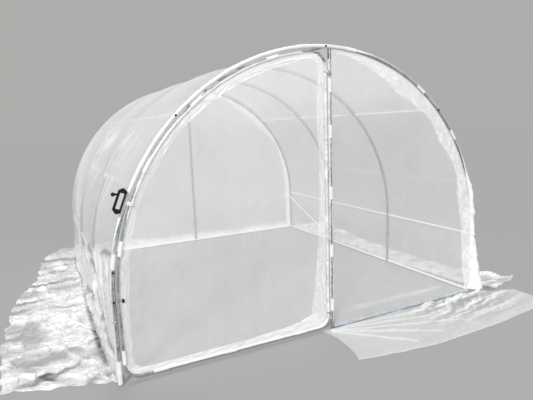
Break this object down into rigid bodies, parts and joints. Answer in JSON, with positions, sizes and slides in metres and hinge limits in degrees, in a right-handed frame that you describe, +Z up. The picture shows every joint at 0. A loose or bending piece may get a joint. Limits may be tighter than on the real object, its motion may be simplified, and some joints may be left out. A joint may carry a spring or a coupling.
{
  "type": "polytunnel greenhouse",
  "caption": "Walk-in tunnel greenhouse of bent galvanised hoops and rails under clear film, with a half-arch hinged door, white film clips and loose film skirts on the ground.",
  "frame": {"origin": "on the ground, in the middle of the hoops' footprint", "axes": "+Z up, +X to the right seen from the door end, -Y towards the door end, +Y along the tunnel"},
  "size_m": [4.2759, 4.3429, 2.0323],
  "materials": {
    "galvanised_tube": "galvanised steel tube, satin with a faint spangle",
    "zinc_fittings": "zinc-plated pressed steel",
    "bolt": "dark bolt head",
    "clear_film": "clear polythene film with a milky haze and creases",
    "ground_film": "clear polythene film, crumpled on the ground",
    "white_clip": "white moulded plastic",
    "black_plastic": "black moulded plastic"
  },
  "bodies": {
    "tunnel": {"front_hoop": "galvanised_tube", "second_hoop": "galvanised_tube", "third_hoop": "galvanised_tube", "back_hoop": "galvanised_tube", "ridge_purlin": "galvanised_tube", "left_shoulder_purlin": "galvanised_tube", "right_shoulder_purlin": "galvanised_tube", "left_waist_rail": "galvanised_tube", "right_waist_rail": "galvanised_tube", "left_base_rail": "galvanised_tube", "right_base_rail": "galvanised_tube", "front_base_rail": "galvanised_tube", "back_base_rail": "galvanised_tube", "front_post": "galvanised_tube", "back_post": "galvanised_tube", "left_brace": "galvanised_tube", "right_brace": "galvanised_tube", "cover_left_wall": "clear_film", "cover_left_shoulder": "clear_film", "cover_left_roof": "clear_film", "cover_right_roof": "clear_film", "cover_right_shoulder": "clear_film", "cover_right_wall": "clear_film", "back_film": "clear_film", "front_film": "clear_film", "left_ground_skirt": "ground_film", "right_ground_skirt": "ground_film", "back_ground_skirt": "ground_film", "front_apron": "ground_film", "hoop_clips": "white_clip", "post_clips": "white_clip", "rail_clips": "white_clip", "lower_hinge_pin": "zinc_fittings", "upper_hinge_pin": "zinc_fittings", "frame_bolts": "bolt"},
    "door": {"door_frame": "galvanised_tube", "door_film": "clear_film", "door_clips": "white_clip", "door_handle": "black_plastic", "handle_strap": "zinc_fittings", "lower_hinge_eye": "zinc_fittings", "upper_hinge_eye": "zinc_fittings"}
  },
  "joints": [
    {"name": "door_swing", "type": "hinge", "parent": "tunnel", "child": "door", "pos_m": [0.01575, -1.612, 0.9], "axis": [0, 0, 1], "range_deg": [0, 120]}
  ]
}
